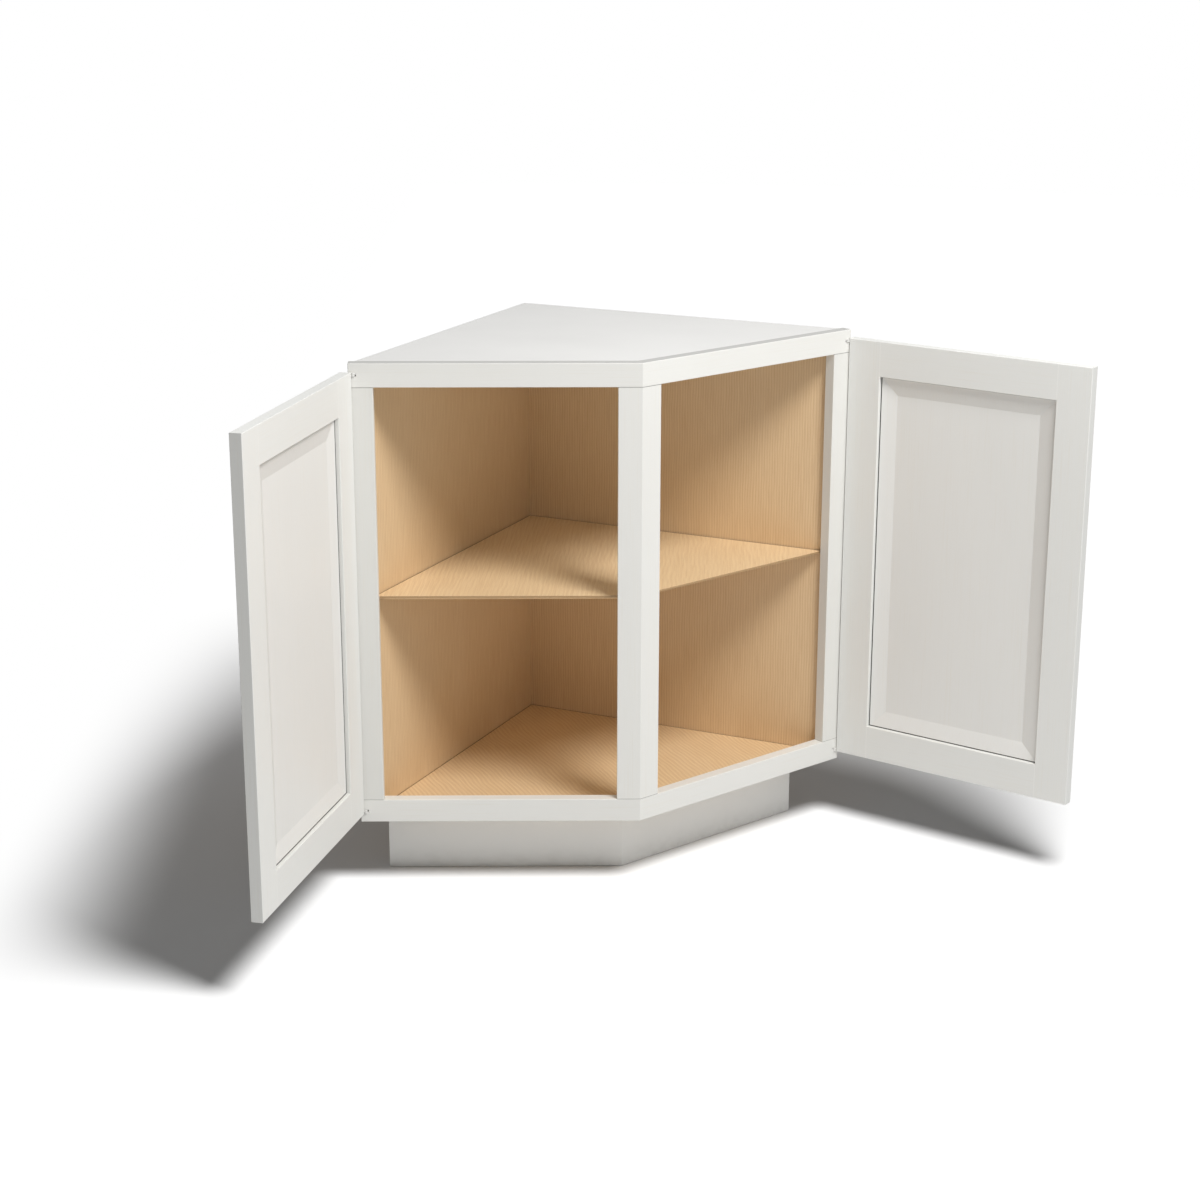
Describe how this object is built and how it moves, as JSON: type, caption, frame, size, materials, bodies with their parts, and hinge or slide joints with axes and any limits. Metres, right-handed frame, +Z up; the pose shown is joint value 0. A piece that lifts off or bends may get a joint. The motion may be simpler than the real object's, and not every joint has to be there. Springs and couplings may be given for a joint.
{
  "type": "diagonal corner base cabinet",
  "caption": "kitchen corner base cabinet with a kite-shaped plan, two angled framed faces, hinged panel doors that stand open, a shelf and a recessed toe board",
  "frame": {"origin": "on the floor, at the outer back corner of the box, where its two walls meet", "axes": "+Z up; the left wall's outer face is the plane X = 0 and runs towards -Y; the back wall's outer face is the plane Y = 0 and runs towards +X; the two door faces look towards -Y and +X and meet at a nose on the line Y = -X"},
  "size_m": [1.0529, 1.0529, 0.8763],
  "materials": {
    "white_frame": "satin white paint on hardwood",
    "white_door_frame": "satin white paint on hardwood",
    "white_door_panel": "satin white paint on a shaped panel",
    "white_toe_board": "white melamine face on board",
    "white_board": "white melamine face on board",
    "maple_board": "clear-coated maple veneer on board",
    "plain_maple": "plain sanded hardwood",
    "painted_hinge": "white enamel on steel",
    "pin_steel": "bright zinc plate"
  },
  "bodies": {
    "cabinet": {"side_left": "maple_board", "side_right": "maple_board", "bottom_panel": "maple_board", "top_panel": "white_board", "hanging_rail_left": "plain_maple", "hanging_rail_right": "plain_maple", "toe_board_left": "white_toe_board", "toe_board_right": "white_toe_board", "toe_corner_block": "plain_maple", "shelf": "maple_board", "shelf_pins": "pin_steel", "frame_left_top_rail": "white_frame", "frame_left_bottom_rail": "white_frame", "frame_left_outer_stile": "white_frame", "frame_left_centre_stile": "white_frame", "frame_right_top_rail": "white_frame", "frame_right_bottom_rail": "white_frame", "frame_right_outer_stile": "white_frame", "frame_right_centre_stile": "white_frame", "mitre_spline": "plain_maple", "left_upper_frame_leaf": "painted_hinge", "left_lower_frame_leaf": "painted_hinge", "left_hinge_pins": "pin_steel", "right_upper_frame_leaf": "painted_hinge", "right_lower_frame_leaf": "painted_hinge", "right_hinge_pins": "pin_steel"},
    "left_door": {"left_door_hinge_stile": "white_door_frame", "left_door_free_stile": "white_door_frame", "left_door_top_rail": "white_door_frame", "left_door_bottom_rail": "white_door_frame", "left_door_panel": "white_door_panel", "left_upper_door_leaf": "painted_hinge", "left_lower_door_leaf": "painted_hinge"},
    "right_door": {"right_door_hinge_stile": "white_door_frame", "right_door_free_stile": "white_door_frame", "right_door_top_rail": "white_door_frame", "right_door_bottom_rail": "white_door_frame", "right_door_panel": "white_door_panel", "right_upper_door_leaf": "painted_hinge", "right_lower_door_leaf": "painted_hinge"}
  },
  "joints": [
    {"name": "left_door_hinge", "type": "hinge", "parent": "cabinet", "child": "left_door", "pos_m": [0.00687, -0.60565, 0.4953], "axis": [0, 0, 1], "range_deg": [0, 105]},
    {"name": "right_door_hinge", "type": "hinge", "parent": "cabinet", "child": "right_door", "pos_m": [0.60565, -0.00687, 0.4953], "axis": [0, 0, -1], "range_deg": [0, 105]}
  ]
}
